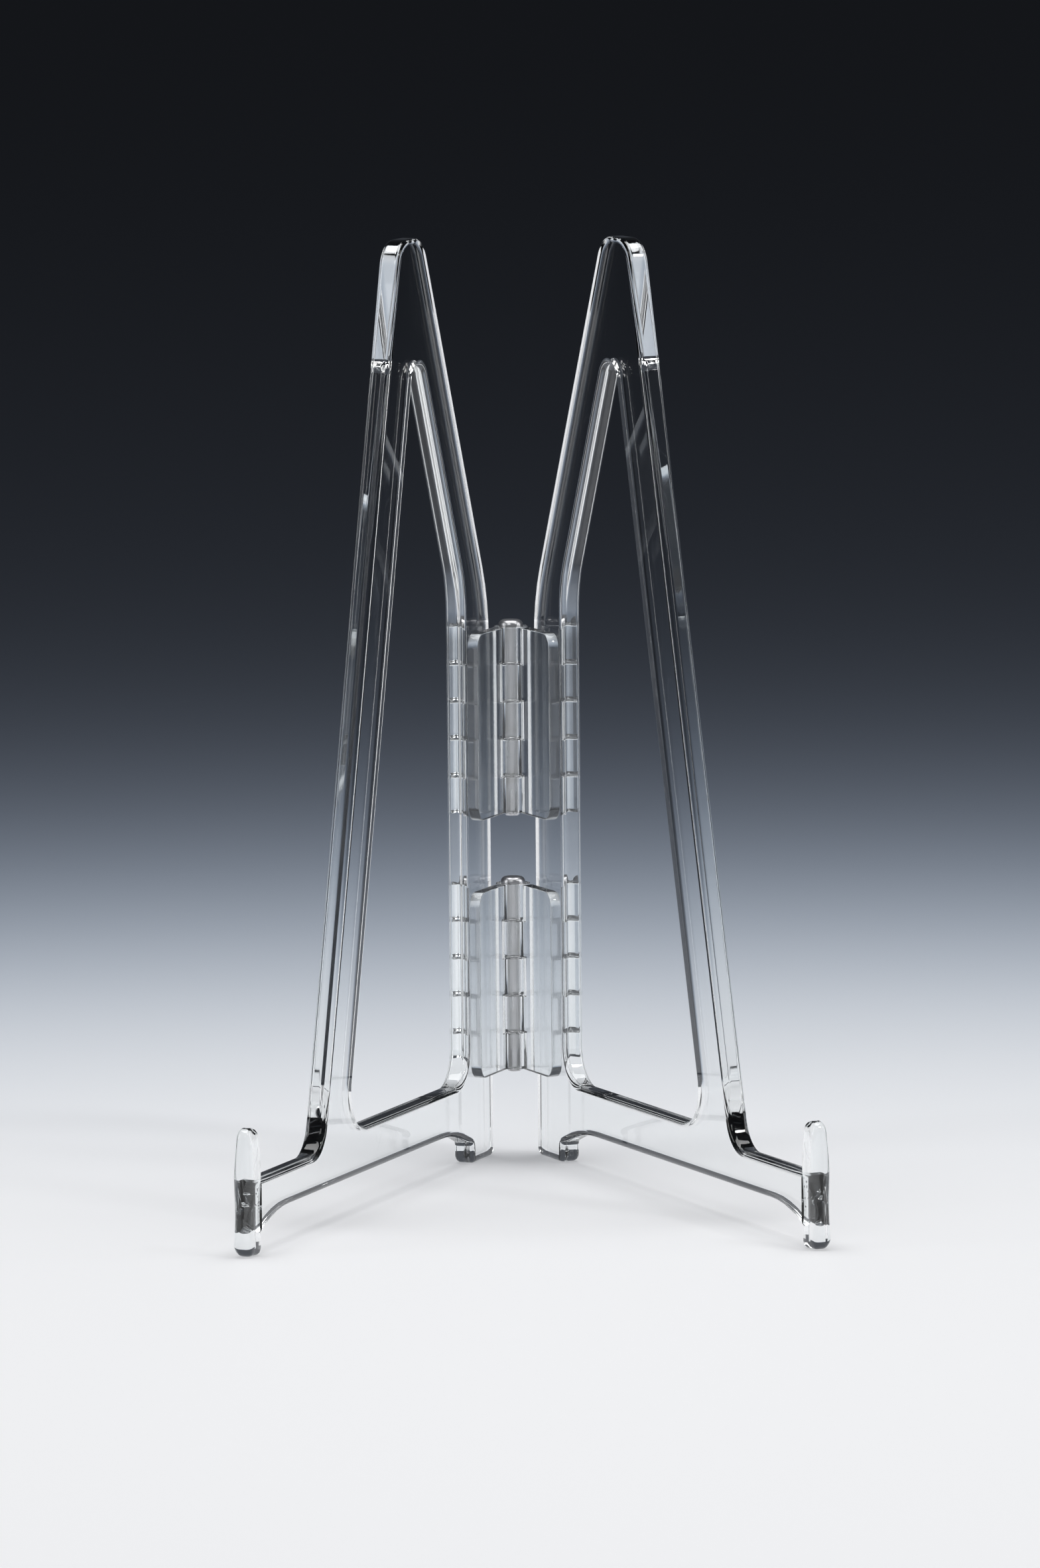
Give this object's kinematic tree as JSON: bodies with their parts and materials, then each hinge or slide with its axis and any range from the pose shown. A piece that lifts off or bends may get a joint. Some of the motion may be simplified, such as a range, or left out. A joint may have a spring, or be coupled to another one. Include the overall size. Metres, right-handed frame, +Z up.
{
  "type": "folding plate display stand",
  "caption": "Clear acrylic plate stand: mirrored side frames with bonded front prongs and leaning backrests, opened to a V on small clear hinges with steel pins at the back.",
  "frame": {"origin": "centre of the footprint, on the surface that the stand rests on", "axes": "+Z up; the prongs and the displayed plate face -Y; +X is right as seen from the front"},
  "size_m": [0.0788, 0.089, 0.13],
  "materials": {
    "clear_acrylic": "polished, water clear",
    "clear_hinge": "moulded, water clear",
    "stainless_steel": "bright drawn wire"
  },
  "bodies": {
    "left_side": {"left_side_frame": "clear_acrylic", "left_prong": "clear_acrylic", "lower_hinge_left_leaf": "clear_hinge", "upper_hinge_left_leaf": "clear_hinge", "lower_hinge_pin": "stainless_steel", "upper_hinge_pin": "stainless_steel"},
    "right_side": {"right_side_frame": "clear_acrylic", "right_prong": "clear_acrylic", "lower_hinge_right_leaf": "clear_hinge", "upper_hinge_right_leaf": "clear_hinge"}
  },
  "joints": [
    {"name": "fold", "type": "hinge", "parent": "left_side", "child": "right_side", "pos_m": [0, 0.04212, 0.043], "axis": [0, 0, 1], "range_deg": [-44, 136]}
  ]
}
